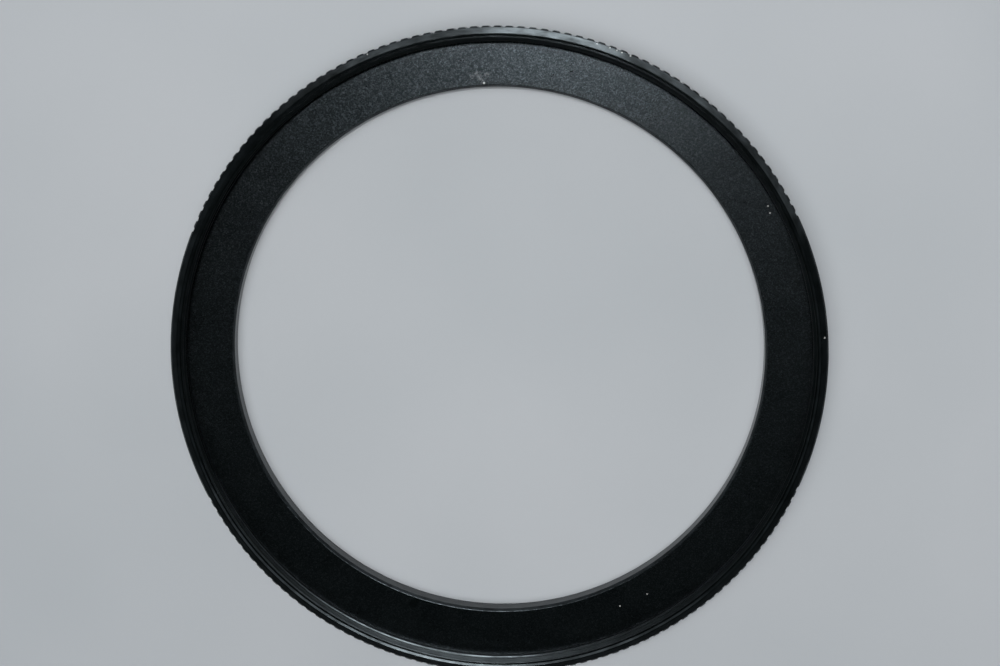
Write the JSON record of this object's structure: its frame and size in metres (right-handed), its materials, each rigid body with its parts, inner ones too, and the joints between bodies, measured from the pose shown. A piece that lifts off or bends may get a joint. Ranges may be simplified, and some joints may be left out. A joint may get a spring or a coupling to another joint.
{
  "type": "step-up ring",
  "caption": "Flat turned step-up ring: a knurled rim round a recess with the female filter thread, and a smaller spigot with the male lens thread.",
  "frame": {"origin": "centre of the spigot's end face, which is the ring's lowest face as it lies on a table", "axes": "+Z along the ring's axis, towards the side that takes the filter; +X through the middle of one plain arc of the rim, +Y through the middle of one knurled arc"},
  "size_m": [0.085, 0.085, 0.0065],
  "materials": {
    "ring": "black anodised over a fine blasted texture, satin"
  },
  "bodies": {
    "root": {"step_up_ring": "ring"}
  },
  "joints": []
}
